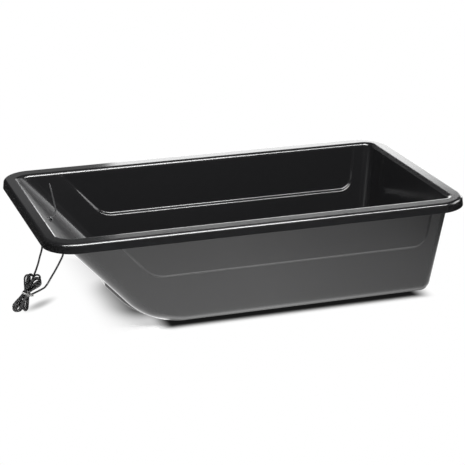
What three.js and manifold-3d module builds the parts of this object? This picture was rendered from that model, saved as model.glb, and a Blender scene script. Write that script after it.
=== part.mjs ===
import * as THREE from "three";
import { mergeVertices } from "three/addons/utils/BufferGeometryUtils.js";
import Module from "manifold-3d";

const wasm = await Module();
wasm.setup();

// Ice fishing sled: a tub drawn from one plastic sheet, and a tow rope held to its bow by a cable tie.
// Lengths are millimetres. x runs from bow to stern, z goes up from the ground, and the origin lies
// on the ground under the middle of the tub.

// Tub
const tubLength = 1000; // over the rim's lip
const tubBeam = 570;
const tubHeight = 250; // ground to the rim's top
const sheet = 3;
const bowRimWidth = 31; // from the lip to where the wall's inside would meet the rim's top
const sideRimWidth = 45.6;
const sternRimWidth = 42;
const bowRake = THREE.MathUtils.degToRad(48); // angles of the end walls from level
const sternRake = THREE.MathUtils.degToRad(83);
const sideDraft = THREE.MathUtils.degToRad(8.1); // from upright
const forefootRadius = 172; // inside radii
const sternFootRadius = 20;
const floorFilletRadius = 13;
const bowCornerRadius = 28;
const sternCornerRadius = 18;
const floorCornerRadius = 5;

// Rim
const rimEdgeRadius = 10; // from the wall onto the rim's top
const shoulderRadius = 9; // from the rim's top onto its skirt
const skirtHeight = 21.5;
const lipFlare = 1.5;
const lipFlareHeight = 4;
const bowLipRadius = 72; // in plan
const sternLipRadius = 85;
const wallEndDrop = 14; // below the rim's top, where the plain wall ends

// Side panels, pushed out of the wall and fading towards the rim
const panelDepth = 7;
const ledgeHeight = 130.5; // foot of the ledge under the panel
const panelBowInset = 104.3; // from the bow wall, along the rim's top
const panelSternInset = 40;
const panelBowRadius = 63.5; // lower corners of the outline
const panelSternRadius = 33.5;

// Runners, moulded in the sheet under the floor and up the bow
const runnerDepth = 9;
const runnerWidth = 50;
const runnerSpacing = 270; // between centre lines
const runnerSideRun = 3; // slope of each flank, over the runner's depth
const runnerEdge = 3;
const runnerRise = 60.5; // up the bow's slope from the end of the forefoot's curve
const runnerSternGap = 11; // tip to the start of the stern foot's curve
const runnerRamp = 14.6;
const runnerTipShare = -0.05; // of the depth: the tip starts inside the sheet

// Cable tie through two slots in the bow wall
const tieDrop = 49; // down the bow's slope from the rim
const strapWidth = 4;
const strapThickness = 1.2;
const tieClearance = 0.3;
const slotClearance = 0.9; // each side of the strap's thickness
const strapCornerRadius = 2.6;
const headWidth = 6;
const headLength = 6.6;
const headHeight = 6.5;
const headChamfer = 1.2;
const tailRise = 4; // straight out of the head
const tailBendRadius = 20;
const tailBend = THREE.MathUtils.degToRad(59);
const tailLength = 61; // beyond the bend

// Tow rope
const ropeDiameter = 4.4;
const ropeEndOverlap = 9; // each way past the middle of the tie
const strandSides = 8;
const strandSteps = 28;

// Hank: loops drawn in at the waist
const hankLayers = 4;
const hankTurnsPerLayer = 2;
const hankPitch = 5.1; // between turns of a layer
const hankLayerPitch = 4.9;
const hankRunHalf = 30; // half of a straight run
const hankLobeRadius = 7.2; // innermost turn, on the rope's centre line
const hankWaistHalf = 1.3; // the same at the waist
const hankSides = 6;
const runSteps = 6;
const capSteps = 6;
const startStep = 2; // along the first run
const endStep = 20; // in the last turn, on the upper cap
const hankCentre = new THREE.Vector3(-493, -1, 43.8);
const hankAxis = new THREE.Vector3(0.501, 0.15, 0.852).normalize(); // unit directions
const hankAcross = new THREE.Vector3(0.812, -0.422, -0.403);
const startLeadShares = [0.85, 0.45, -0.25]; // the first end's way out: along, across and through the hank

// Hank tie
const hankTieWidth = 3;
const hankTieThickness = 1;
const hankTieClearance = 0.6;
const hankTieCornerRadius = 3;
const twistLength = 11;
const twistWidth = 2.6;
const twistTurn = THREE.MathUtils.degToRad(300);
const twistSteps = 10;

// Steps of the curved parts
const cornerSteps = 8;
const footSteps = 10;
const filletSteps = 4;
const arcSteps = 6;
const halvings = 40; // of the search for a level on the foot's curve

const floorTop = runnerDepth + sheet;
const bow = {
  facing: 1,
  topX: bowRimWidth - tubLength / 2,
  rake: bowRake,
  foot: forefootRadius,
  corner: bowCornerRadius,
  lip: bowLipRadius,
  panelInset: panelBowInset,
  panelCorner: panelBowRadius,
};
const stern = {
  facing: -1,
  topX: tubLength / 2 - sternRimWidth,
  rake: sternRake,
  foot: sternFootRadius,
  corner: sternCornerRadius,
  lip: sternLipRadius,
  panelInset: panelSternInset,
  panelCorner: panelSternRadius,
};

// A closed surface through rings of equal count, with the first and last ring capped.
// Seen from outside, the first ring runs anticlockwise.
function loft(rings) {
  const count = rings[0].length;
  const points = rings.flat();
  const index = [];
  const cap = (first, turned) => {
    const outline = rings[first].map((p) => new THREE.Vector2(...flat(p, rings[first])));
    const faces = THREE.ShapeUtils.triangulateShape(outline, []);
    const area = THREE.ShapeUtils.area(outline);
    faces.forEach(([a, b, c]) => {
      const corner = first * count;
      const kept = area > 0 !== turned;
      index.push(corner + a, corner + (kept ? b : c), corner + (kept ? c : b));
    });
  };
  cap(0, false);
  for (let i = 0; i + 1 < rings.length; i++) {
    for (let j = 0; j < count; j++) {
      const here = i * count + j;
      const next = i * count + ((j + 1) % count);
      index.push(next, here, here + count, next, here + count, next + count);
    }
  }
  cap(rings.length - 1, true);
  const geometry = new THREE.BufferGeometry().setFromPoints(points);
  geometry.setIndex(index);
  return geometry;
}

// A ring's point in the plane of its ring.
function flat(point, ring) {
  const first = new THREE.Vector3().subVectors(ring[1], ring[0]).normalize();
  const normal = new THREE.Vector3();
  ring.forEach((p, i) => {
    normal.add(new THREE.Vector3().crossVectors(p, ring[(i + 1) % ring.length]));
  });
  const second = new THREE.Vector3().crossVectors(normal.normalize(), first);
  return [point.dot(first), point.dot(second)];
}

function solid(geometry) {
  const bare = geometry.clone();
  bare.deleteAttribute("normal");
  bare.deleteAttribute("uv");
  const merged = mergeVertices(bare);
  const vertProperties = merged.attributes.position.array;
  const triVerts = new Uint32Array(merged.index.array);
  return new wasm.Manifold(new wasm.Mesh({ numProp: 3, vertProperties, triVerts }));
}

function geometryOf(manifold) {
  const made = manifold.getMesh();
  const geometry = new THREE.BufferGeometry();
  geometry.setAttribute("position", new THREE.BufferAttribute(made.vertProperties, made.numProp));
  geometry.setIndex(new THREE.BufferAttribute(made.triVerts, 1));
  return geometry;
}

function piece(name, geometry, color, roughness) {
  const flatSided = geometry.index ? geometry.toNonIndexed() : geometry;
  flatSided.computeVertexNormals();
  const mesh = new THREE.Mesh(flatSided, new THREE.MeshStandardMaterial({ color, roughness, metalness: 0 }));
  mesh.name = name;
  return mesh;
}

// The tub's surfaces lie at an offset from its inside: 0 inside, the sheet's thickness outside.
const floorZ = (offset) => floorTop - offset;

function sideY(z, offset) {
  const inside = tubBeam / 2 - sideRimWidth - (tubHeight - z) * Math.tan(sideDraft);
  return inside + offset / Math.cos(sideDraft);
}

// How far an end wall's plane lies in from its top line at a height.
function endLine(end, z, offset) {
  return (tubHeight - z) / Math.tan(end.rake) - offset / Math.sin(end.rake);
}

function footArc(end, offset) {
  const radius = end.foot + offset;
  const inset = endLine(end, floorZ(offset), offset) + radius * Math.tan(end.rake / 2);
  return { radius, inset };
}

// Radius of the fillet between end and side, which grows from the floor up the foot's curve.
function edgeRadius(end, foot, offset) {
  const share = Math.min(1, Math.sin(foot) / Math.sin(end.rake));
  return floorFilletRadius + offset + (end.corner - floorFilletRadius) * share;
}

// A point of that fillet at a height and at its own angle, 0 on the end and a quarter turn on the side.
function edgePoint(end, z, angle, offset) {
  const arc = footArc(end, offset);
  const rise = z - floorZ(offset);
  const bend = 1 - Math.cos(angle);
  const lift = (foot) =>
    arc.radius * (1 - Math.cos(foot)) + edgeRadius(end, foot, offset) * bend * Math.cos(foot);
  let inset;
  let radius = edgeRadius(end, end.rake, offset);
  if (lift(end.rake) <= rise) {
    inset = endLine(end, z, offset) + (radius * bend) / Math.sin(end.rake);
  } else {
    let low = 0;
    let high = end.rake;
    for (let i = 0; i < halvings; i++) {
      const middle = (low + high) / 2;
      if (lift(middle) < rise) low = middle;
      else high = middle;
    }
    radius = edgeRadius(end, low, offset);
    inset = arc.inset - (arc.radius - radius * bend) * Math.sin(low);
  }
  return {
    x: end.topX + end.facing * inset,
    y: sideY(z, offset) - radius * (1 - Math.sin(angle)),
  };
}

// How far round the fillet a level reaches before it runs onto the flat floor.
function edgeReach(z, offset) {
  const rise = (z - floorZ(offset)) / (floorFilletRadius + offset);
  return rise < 1 ? Math.acos(1 - rise) : Math.PI / 2;
}

const panelGrowth = (offset) => offset * Math.tan(Math.PI / 8);
const ledgeFoot = (offset) => ledgeHeight - panelGrowth(offset);
const ledgeTop = (offset) => ledgeFoot(offset) + panelDepth;
const panelFade = panelDepth / (tubHeight - ledgeHeight - panelDepth); // lost per unit of height

// Where the panel's outline, moved outward along its normal, stands at a height.
function panelEdge(end, z, outward, leastReach) {
  const radius = end.panelCorner + outward;
  const centreZ = ledgeHeight + end.panelCorner;
  const straight = (height) => end.panelInset + (tubHeight - height) / Math.tan(end.rake);
  const centre = straight(ledgeHeight) + end.panelCorner * Math.tan(end.rake / 2);
  let inset = straight(z) - outward / Math.sin(end.rake);
  if (z < centreZ - radius * Math.cos(end.rake)) {
    const below = Math.min(centreZ - z, radius);
    inset = centre - Math.max(leastReach, Math.sqrt(radius * radius - below * below));
  }
  return end.topX + end.facing * inset;
}

function panelDepthAt(z, offset) {
  return Math.max(0, Math.min(z - ledgeFoot(offset), panelDepth, panelFade * (tubHeight - z)));
}

// The side wall's columns from bow to stern: outline foot, outline top, and the same at the stern.
function panelColumns(z, offset) {
  const growth = panelGrowth(offset);
  const at = Math.max(z, ledgeFoot(offset));
  return [
    panelEdge(bow, at, growth, panelDepth),
    panelEdge(bow, at, growth - panelDepth, 0),
    panelEdge(stern, at, growth - panelDepth, 0),
    panelEdge(stern, at, growth, panelDepth),
  ];
}

// The columns as shares of the way from one corner's end to the other's.
function columnShares(z, offset) {
  const foot = Math.max(z, ledgeFoot(offset));
  const startX = edgePoint(bow, foot, Math.PI / 2, offset).x;
  const endX = edgePoint(stern, foot, Math.PI / 2, offset).x;
  return panelColumns(z, offset).map((x) => (x - startX) / (endX - startX));
}

// One side of the tub at a height, from the middle of the bow to the middle of the stern.
function wallSide(z, offset) {
  const reach = edgeReach(z, offset);
  const corner = (end) =>
    Array.from({ length: cornerSteps + 1 }, (_, i) => edgePoint(end, z, (reach * i) / cornerSteps, offset));
  const fore = corner(bow);
  const aft = corner(stern).reverse();
  const sideStart = fore[cornerSteps];
  const sideEnd = aft[0];
  const depth = panelDepthAt(z, offset);
  const columns = columnShares(z, offset).map((share, i) => ({
    x: sideStart.x + share * (sideEnd.x - sideStart.x),
    y: sideStart.y + (i === 1 || i === 2 ? depth : 0),
  }));
  return [...fore, ...columns, ...aft];
}

// Both sides joined into a ring, anticlockwise from above.
function ringOf(side) {
  const near = side.map((p) => new THREE.Vector3(p.x, -p.y, p.z));
  const far = side.map((p) => new THREE.Vector3(p.x, p.y, p.z)).reverse();
  return [...near, ...far];
}

const wallRing = (z, offset) => ringOf(wallSide(z, offset).map((p) => ({ ...p, z })));

// The flat floor's outline, where the fillets and the feet's curves run out.
function floorRing(offset) {
  const z = floorZ(offset);
  const edge = sideY(z, offset) - floorFilletRadius - offset;
  const corner = (end) =>
    Array.from({ length: cornerSteps + 1 }, (_, i) => {
      const angle = (Math.PI * i) / 2 / cornerSteps;
      const inset = footArc(end, offset).inset + floorCornerRadius * (1 - Math.cos(angle));
      return { x: end.topX + end.facing * inset, y: edge - floorCornerRadius * (1 - Math.sin(angle)), z };
    });
  const side = wallSide(z + floorCornerRadius, offset);
  const columns = side.slice(cornerSteps + 1, -cornerSteps - 1).map((p) => ({ x: p.x, y: edge, z }));
  return ringOf([...corner(bow), ...columns, ...corner(stern).reverse()]);
}

// Heights of the wall's rings from the floor up to the rim's edge.
function wallLevels(offset) {
  const levels = [];
  const radius = bow.foot + offset;
  for (let i = 1; i <= footSteps; i++) {
    levels.push(floorZ(offset) + radius * (1 - Math.cos((bow.rake * i) / footSteps)));
  }
  levels.push(levels[footSteps - 1] + (bow.corner + offset) * Math.cos(bow.rake));
  levels.push(ledgeFoot(offset), ledgeFoot(offset) + panelDepth / 2, ledgeTop(offset));
  const bowCentre = ledgeHeight + bow.panelCorner;
  const sternCentre = ledgeHeight + stern.panelCorner;
  [1, 2].forEach((i) => {
    levels.push(sternCentre - (stern.panelCorner - panelDepth) * Math.cos((stern.rake * i) / filletSteps));
  });
  levels.push(bowCentre - bow.panelCorner * Math.cos(bow.rake));
  levels.push(sternCentre - stern.panelCorner * Math.cos(stern.rake));
  levels.push(tubHeight - wallEndDrop);
  return levels.sort((a, b) => a - b);
}

// The wall's line at the rim's top: each point with its way out in plan and the wall's lean there.
function rimLine() {
  const corner = (end) =>
    Array.from({ length: cornerSteps + 1 }, (_, i) => {
      const angle = (Math.PI * i) / 2 / cornerSteps;
      const across = Math.sin(angle) / Math.sin(end.rake);
      const size = Math.hypot(Math.cos(angle), across);
      const lean = (Math.cos(angle) / Math.tan(end.rake) + across * Math.tan(sideDraft)) / size;
      const point = edgePoint(end, tubHeight, angle, 0);
      return { ...point, outX: (-end.facing * Math.cos(angle)) / size, outY: across / size, lean };
    });
  const columns = panelColumns(tubHeight, 0).map((x, i) => ({
    x,
    y: sideY(tubHeight, 0),
    outX: 0,
    outY: 1,
    lean: Math.tan(sideDraft) - (i === 1 || i === 2 ? panelFade : 0),
  }));
  return [...corner(bow), ...columns, ...corner(stern).reverse()];
}

// A ring of the rounded edge between wall and rim: share 1 on the wall, 0 on the rim's top.
function rimEdgeRing(share, radius) {
  const points = rimLine().map((p) => {
    const turn = Math.PI / 2 - Math.atan(p.lean);
    const out = rimEdgeRadius * Math.tan(turn / 2) - radius * Math.sin(turn * share);
    const z = tubHeight - rimEdgeRadius + radius * Math.cos(turn * share);
    return { x: p.x + p.outX * out, y: p.y + p.outY * out, z };
  });
  return ringOf(points);
}

// A ring of the rim's outside: a rounded rectangle at an inset from the lip.
function lipRing(inset, z) {
  const corner = (end) =>
    Array.from({ length: cornerSteps + 1 }, (_, i) => {
      const angle = (Math.PI * i) / 2 / cornerSteps;
      const radius = end.lip - inset;
      return {
        x: end.facing * (end.lip - tubLength / 2 - radius * Math.cos(angle)),
        y: tubBeam / 2 - end.lip + radius * Math.sin(angle),
        z,
      };
    });
  const startX = bow.lip - tubLength / 2;
  const sideLength = tubLength - bow.lip - stern.lip;
  const columns = columnShares(tubHeight, 0).map((share) => ({
    x: startX + share * sideLength,
    y: tubBeam / 2 - inset,
    z,
  }));
  return ringOf([...corner(bow), ...columns, ...corner(stern).reverse()]);
}

function shoulderRing(share, radius) {
  const angle = (Math.PI / 2) * share;
  const inset = lipFlare + shoulderRadius - radius * Math.sin(angle);
  return lipRing(inset, tubHeight - shoulderRadius + radius * Math.cos(angle));
}

const shares = (steps) => Array.from({ length: steps + 1 }, (_, i) => i / steps);

// Floor, walls, rim and skirt as one sheet: up the inside, over the rim, and down the outside.
function tubShell() {
  const lipZ = tubHeight - skirtHeight;
  const up = shares(filletSteps);
  const down = shares(filletSteps).reverse();
  return loft([
    floorRing(0),
    ...wallLevels(0).map((z) => wallRing(z, 0)),
    ...down.map((share) => rimEdgeRing(share, rimEdgeRadius)),
    ...up.map((share) => shoulderRing(share, shoulderRadius)),
    lipRing(lipFlare, lipZ + lipFlareHeight),
    lipRing(0, lipZ),
    lipRing(sheet, lipZ),
    lipRing(lipFlare + sheet, lipZ + lipFlareHeight),
    ...down.map((share) => shoulderRing(share, shoulderRadius - sheet)),
    ...up.map((share) => rimEdgeRing(share, rimEdgeRadius - sheet)),
    ...wallLevels(sheet).reverse().map((z) => wallRing(z, sheet)),
    floorRing(sheet),
  ]);
}

// A runner's way from the bow's slope round the forefoot and along the floor, on the tub's inside.
// share tells how much of its depth the runner has there.
function runnerWay(tipShift) {
  const arc = footArc(bow, 0);
  const along = new THREE.Vector2(Math.cos(bow.rake), -Math.sin(bow.rake));
  const slopeFoot = new THREE.Vector2(
    bow.topX + arc.inset - arc.radius * Math.sin(bow.rake),
    floorTop + arc.radius * (1 - Math.cos(bow.rake)),
  );
  const onSlope = (rise, share) => {
    const at = slopeFoot.clone().addScaledVector(along, tipShift - rise);
    return { at, angle: bow.rake, share };
  };
  const way = [onSlope(runnerRise, runnerTipShare), onSlope(runnerRise - runnerRamp, 1)];
  for (let i = footSteps; i >= 0; i--) {
    const angle = (bow.rake * i) / footSteps;
    const x = bow.topX + arc.inset - arc.radius * Math.sin(angle);
    way.push({ at: new THREE.Vector2(x, floorTop + arc.radius * (1 - Math.cos(angle))), angle, share: 1 });
  }
  const tipX = stern.topX - footArc(stern, 0).inset - runnerSternGap - tipShift;
  way.push({ at: new THREE.Vector2(tipX - runnerRamp, floorTop), angle: 0, share: 1 });
  way.push({ at: new THREE.Vector2(tipX, floorTop), angle: 0, share: runnerTipShare });
  return way;
}

// A bar along that way, from one offset of the sheet down to the runner's depth below another.
function runnerBar(centreY, width, top, bottom, tipShift) {
  const rings = runnerWay(tipShift).map(({ at, angle, share }) => {
    const low = bottom + runnerDepth * share;
    const edge = Math.min(runnerEdge, (low - top) / 2);
    const flank = (depth) => width / 2 - (runnerSideRun * Math.max(0, depth - bottom)) / runnerDepth;
    const place = (across, depth) =>
      new THREE.Vector3(at.x - Math.sin(angle) * depth, centreY + across, at.y - Math.cos(angle) * depth);
    const half = [
      [flank(low) - edge, low],
      [flank(low - edge), low - edge],
      [width / 2, top],
    ];
    return [
      ...half.map(([across, depth]) => place(-across, depth)),
      ...half.reverse().map(([across, depth]) => place(across, depth)),
    ];
  });
  return solid(loft(rings));
}

// The bow slope's own frame at the cable tie: down the slope, along y, and out of the sheet's inside.
function tieFrame() {
  const down = new THREE.Vector3(Math.cos(bow.rake), 0, -Math.sin(bow.rake));
  const out = new THREE.Vector3(Math.sin(bow.rake), 0, Math.cos(bow.rake));
  const frame = new THREE.Matrix4().makeBasis(down, new THREE.Vector3(0, 1, 0), out);
  frame.setPosition(bow.topX + down.x * tieDrop, 0, tubHeight + down.z * tieDrop);
  return frame;
}

// Half of the strap loop's inner width: round two rope ends that lie side by side.
const strapHalf = ropeDiameter + tieClearance * 2;
const ropeDepth = sheet + tieClearance + ropeDiameter / 2; // rope's centre line behind the wall's inside

function tieSlot(side) {
  const slotThickness = strapThickness + slotClearance * 2;
  const slot = new THREE.BoxGeometry(slotThickness, strapWidth + tieClearance * 2, sheet * 3);
  slot.translate(side * (strapHalf + strapThickness / 2), 0, 0);
  return solid(slot.applyMatrix4(tieFrame()));
}

function tub() {
  const flankShift = (sheet * (Math.hypot(runnerRamp, runnerDepth) - runnerRamp)) / runnerDepth;
  let made = solid(tubShell());
  [-1, 1].forEach((side) => {
    made = made.add(runnerBar((side * runnerSpacing) / 2, runnerWidth, sheet / 2, sheet, 0));
  });
  [-1, 1].forEach((side) => {
    const width = runnerWidth - sheet * 2;
    made = made.subtract(runnerBar((side * runnerSpacing) / 2, width, -sheet, 0, flankShift));
    made = made.subtract(tieSlot(side));
  });
  return piece("tub", geometryOf(made), 0x1b1c1e, 0.42);
}

// A flat outline in the plane of the slope and its normal, made as thick as the tie is wide there.
function tiePlate(shape, width) {
  const options = { depth: width, bevelEnabled: false, curveSegments: arcSteps };
  const plate = new THREE.ExtrudeGeometry(shape, options);
  plate.translate(0, 0, -width / 2);
  return solid(plate.rotateX(Math.PI / 2));
}

function roundedRectangle(path, left, low, right, high, radius) {
  path.moveTo(left + radius, low);
  path.lineTo(right - radius, low);
  path.absarc(right - radius, low + radius, radius, -Math.PI / 2, 0);
  path.lineTo(right, high - radius);
  path.absarc(right - radius, high - radius, radius, 0, Math.PI / 2);
  path.lineTo(left + radius, high);
  path.absarc(left + radius, high - radius, radius, Math.PI / 2, Math.PI);
  path.lineTo(left, low + radius);
  path.absarc(left + radius, low + radius, radius, Math.PI, Math.PI * 1.5);
  return path;
}

function strapLoop() {
  const low = -ropeDepth - ropeDiameter / 2 - tieClearance;
  const outside = roundedRectangle(
    new THREE.Shape(),
    -strapHalf - strapThickness,
    low - strapThickness,
    strapHalf + strapThickness,
    tieClearance + strapThickness,
    strapCornerRadius,
  );
  const inside = roundedRectangle(
    new THREE.Path(),
    -strapHalf,
    low,
    strapHalf,
    tieClearance,
    strapCornerRadius - strapThickness,
  );
  outside.holes.push(inside);
  return tiePlate(outside, strapWidth);
}

function tieHead() {
  const shape = new THREE.Shape();
  const low = tieClearance + strapThickness / 2;
  const high = low + headHeight;
  shape.moveTo(-headLength / 2, low);
  shape.lineTo(headLength / 2, low);
  shape.lineTo(headLength / 2, high - headChamfer);
  shape.lineTo(headLength / 2 - headChamfer, high);
  shape.lineTo(headChamfer - headLength / 2, high);
  shape.lineTo(-headLength / 2, high - headChamfer);
  return tiePlate(shape, headWidth);
}

function tieTail() {
  const half = strapThickness / 2;
  const start = tieClearance + strapThickness + headHeight / 2;
  const bendFoot = tieClearance + strapThickness / 2 + headHeight + tailRise;
  const side = new THREE.Vector2(Math.cos(tailBend), Math.sin(tailBend));
  const ahead = new THREE.Vector2(-Math.sin(tailBend), Math.cos(tailBend)).multiplyScalar(tailLength);
  const onBend = (radius) => new THREE.Vector2(-tailBendRadius, bendFoot).addScaledVector(side, radius);
  const shape = new THREE.Shape();
  shape.moveTo(half, start);
  shape.lineTo(half, bendFoot);
  shape.absarc(-tailBendRadius, bendFoot, tailBendRadius + half, 0, tailBend);
  const outerEnd = onBend(tailBendRadius + half).add(ahead);
  const innerEnd = onBend(tailBendRadius - half).add(ahead);
  shape.lineTo(outerEnd.x, outerEnd.y);
  shape.lineTo(innerEnd.x, innerEnd.y);
  const innerTurn = onBend(tailBendRadius - half);
  shape.lineTo(innerTurn.x, innerTurn.y);
  shape.absarc(-tailBendRadius, bendFoot, tailBendRadius - half, tailBend, 0, true);
  shape.lineTo(-half, start);
  return tiePlate(shape, strapWidth);
}

function cableTie() {
  const made = strapLoop().add(tieHead()).add(tieTail());
  return piece("cable_tie", geometryOf(made).applyMatrix4(tieFrame()), 0x141415, 0.4);
}

// The hank's centre line. A turn has a run down, the lower cap, a run up and the upper cap.
const turnSteps = 2 * (runSteps + capSteps);
const hankSteps = turnSteps * (hankLayers * hankTurnsPerLayer - 1) + endStep - startStep;

// A turn's point in the hank's own plane, moved outward by the spiral.
function turnPoint(step, outward) {
  const place = step % turnSteps;
  const lower = place >= runSteps && place < runSteps + capSteps;
  const back = place >= runSteps + capSteps;
  const half = back ? place - runSteps - capSteps : place;
  const sign = back ? -1 : 1;
  const radius = hankLobeRadius + outward;
  if (lower || half > runSteps) {
    const angle = (Math.PI * (half - runSteps)) / capSteps;
    const reach = hankRunHalf + radius * Math.sin(angle);
    return { along: -sign * reach, across: sign * radius * Math.cos(angle) };
  }
  const along = sign * hankRunHalf * (1 - (2 * half) / runSteps);
  const drawn = ((hankLobeRadius - hankWaistHalf) * (1 + Math.cos((Math.PI * along) / hankRunHalf))) / 2;
  return { along, across: sign * (radius - drawn) };
}

function hankPoint(step) {
  const turns = (step - startStep) / turnSteps;
  const layer = turns / hankTurnsPerLayer;
  const fold = Math.abs(((layer + 1) % 2) - 1); // 0 at an outer turning point, 1 at an inner one
  const nearest = Math.min(Math.max(Math.round(layer), 1), hankLayers - 1);
  const climb = THREE.MathUtils.smoothstep((turns - nearest * hankTurnsPerLayer) * 2, -0.5, 0.5);
  const { along, across } = turnPoint(step, (1 - fold) * hankTurnsPerLayer * hankPitch);
  return hankPlace(along, across, (nearest - 1 + climb) * hankLayerPitch);
}

// A place given along the hank, across it and through its layers, the first layer being 0.
function hankPlace(along, across, through) {
  const axis = hankAxis.clone();
  const wide = hankAcross.clone().addScaledVector(axis, -hankAcross.dot(axis)).normalize();
  const deep = new THREE.Vector3().crossVectors(axis, wide);
  const middle = ((hankLayers - 1) * hankLayerPitch) / 2;
  return hankCentre
    .clone()
    .addScaledVector(axis, along)
    .addScaledVector(wide, across)
    .addScaledVector(deep, through - middle);
}

function hankLine() {
  const line = Array.from({ length: hankSteps + 1 }, (_, i) => hankPoint(startStep + i));
  const startLead = hankPlace(...startLeadShares).sub(hankPlace(0, 0, 0)).setLength(ropeDiameter);
  const endLead = line[hankSteps].clone().sub(line[hankSteps - 1]).setLength(ropeDiameter);
  return [line[0].clone().add(startLead), ...line, line[hankSteps].clone().add(endLead)];
}

// Least distance between stretches of the line that are more than a few diameters of rope apart.
function leastGap(line) {
  const spots = line.slice(1).flatMap((p, i) => shares(4).map((share) => line[i].clone().lerp(p, share)));
  let run = 0;
  const lengths = spots.map((p, i) => (run += i ? p.distanceTo(spots[i - 1]) : 0));
  let least = Infinity;
  spots.forEach((p, i) => {
    for (let j = i + 1; j < spots.length; j++) {
      if (lengths[j] - lengths[i] < ropeDiameter * 4) continue;
      least = Math.min(least, p.distanceTo(spots[j]));
    }
  });
  return least - ropeDiameter;
}

function towRopeHank() {
  const line = hankLine();
  const wide = hankPlace(0, 0, 1).sub(hankPlace(0, 0, 0)).normalize();
  const rings = line.map((p, i) => {
    const ahead = line[Math.min(i + 1, line.length - 1)].clone();
    const tangent = ahead.sub(line[Math.max(i - 1, 0)]).normalize();
    const first = wide.clone().addScaledVector(tangent, -wide.dot(tangent)).normalize();
    const second = new THREE.Vector3().crossVectors(tangent, first);
    return Array.from({ length: hankSides }, (_, k) => {
      const angle = (-Math.PI * 2 * k) / hankSides;
      return p
        .clone()
        .addScaledVector(first, (ropeDiameter / 2) * Math.cos(angle))
        .addScaledVector(second, (ropeDiameter / 2) * Math.sin(angle));
    });
  });
  console.log("hank: least gap to itself", leastGap(line).toFixed(2), "mm");
  return piece("tow_rope_hank", loft(rings), 0x17181a, 0.8);
}

// Where a strand meets an end of the hank: the last two points of its route.
function strandEnd(line) {
  const [tip, before] = line;
  const away = tip.clone().sub(before).normalize();
  return [
    tip.clone().addScaledVector(away, tieClearance + ropeDiameter),
    tip.clone().addScaledVector(away, tieClearance),
  ];
}

// A strand of rope from its end in the cable tie, through points chosen by hand, to the hank.
function strand(name, side, along, route, line) {
  const frame = tieFrame();
  const inTie = (y) => new THREE.Vector3(along, y, -ropeDepth).applyMatrix4(frame);
  const points = [
    inTie(-side * ropeEndOverlap),
    inTie(0),
    inTie(side * ropeEndOverlap),
    ...route.map((p) => new THREE.Vector3(...p)),
    ...strandEnd(line),
  ];
  const section = new THREE.Shape(
    Array.from({ length: strandSides }, (_, i) => {
      const angle = (Math.PI * 2 * i) / strandSides;
      return new THREE.Vector2(Math.cos(angle), Math.sin(angle)).multiplyScalar(ropeDiameter / 2);
    }),
  );
  const extrudePath = new THREE.CatmullRomCurve3(points, false, "centripetal");
  const tube = new THREE.ExtrudeGeometry(section, { steps: strandSteps, extrudePath, bevelEnabled: false });
  return piece(name, tube, 0x17181a, 0.8);
}

const nearRoute = [
  [-438.5, -21, 206.5],
  [-433, -37, 196],
  [-424, -50, 179],
  [-418.5, -55.5, 162],
  [-419.3, -55, 147],
  [-428, -51, 125.5],
  [-438, -45, 104],
  [-447.3, -37, 83.8],
  [-455.5, -30, 67],
  [-460.5, -25, 59],
  [-468, -18.5, 54.5],
];
const farRoute = [
  [-444, 17, 209.5],
  [-447.5, 21.5, 201],
  [-449.5, 21, 188],
  [-451.5, 17, 168],
  [-453.5, 12.5, 143],
  [-459.7, 11, 123],
  [-465.5, 12.5, 102],
];

function nearStrand() {
  return strand("tow_rope_near_strand", -1, strapHalf / 2, nearRoute, hankLine());
}

function farStrand() {
  return strand("tow_rope_far_strand", 1, -strapHalf / 2, farRoute, hankLine().reverse());
}

// A flat tie round the hank's waist, closed by a twist in front of the first layer.
function hankTie() {
  const outer = hankWaistHalf + hankTurnsPerLayer * hankPitch + ropeDiameter / 2 + hankTieClearance;
  const inner = outer - hankPitch / 2;
  const front = -ropeDiameter / 2 - hankTieClearance;
  const back = (hankLayers - 1) * hankLayerPitch - front;
  const band = roundedRectangle(
    new THREE.Shape(),
    -inner - hankTieThickness,
    front - hankTieThickness,
    outer + hankTieThickness,
    back + hankTieThickness,
    hankTieCornerRadius,
  );
  band.holes.push(
    roundedRectangle(new THREE.Path(), -inner, front, outer, back, hankTieCornerRadius - hankTieThickness),
  );
  const options = { depth: hankTieWidth, bevelEnabled: false, curveSegments: arcSteps };
  const ring = new THREE.ExtrudeGeometry(band, options);
  ring.translate(0, 0, -hankTieWidth / 2);
  const rings = shares(twistSteps).map((share) => {
    const angle = twistTurn * share;
    const corners = [
      [-twistWidth / 2, -hankTieThickness / 2],
      [twistWidth / 2, -hankTieThickness / 2],
      [twistWidth / 2, hankTieThickness / 2],
      [-twistWidth / 2, hankTieThickness / 2],
    ];
    return corners.map(([high, deep]) => {
      const turned = new THREE.Vector2(high, deep).rotateAround(new THREE.Vector2(), angle);
      const x = twistLength * (share - 1 / 2);
      return new THREE.Vector3(x, front - twistWidth / 2 + turned.y, turned.x);
    });
  });
  const made = solid(ring).add(solid(loft(rings)));
  const frame = new THREE.Matrix4().makeBasis(
    hankPlace(0, 1, 0).sub(hankPlace(0, 0, 0)),
    hankPlace(0, 0, 1).sub(hankPlace(0, 0, 0)),
    hankPlace(1, 0, 0).sub(hankPlace(0, 0, 0)),
  );
  frame.setPosition(hankPlace(0, 0, 0));
  return piece("hank_tie", geometryOf(made).applyMatrix4(frame), 0xe9e9e6, 0.6);
}

const sled = new THREE.Group();
sled.name = "ice_fishing_sled";
sled.add(tub(), cableTie(), nearStrand(), farStrand(), towRopeHank(), hankTie());

export default sled;
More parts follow.
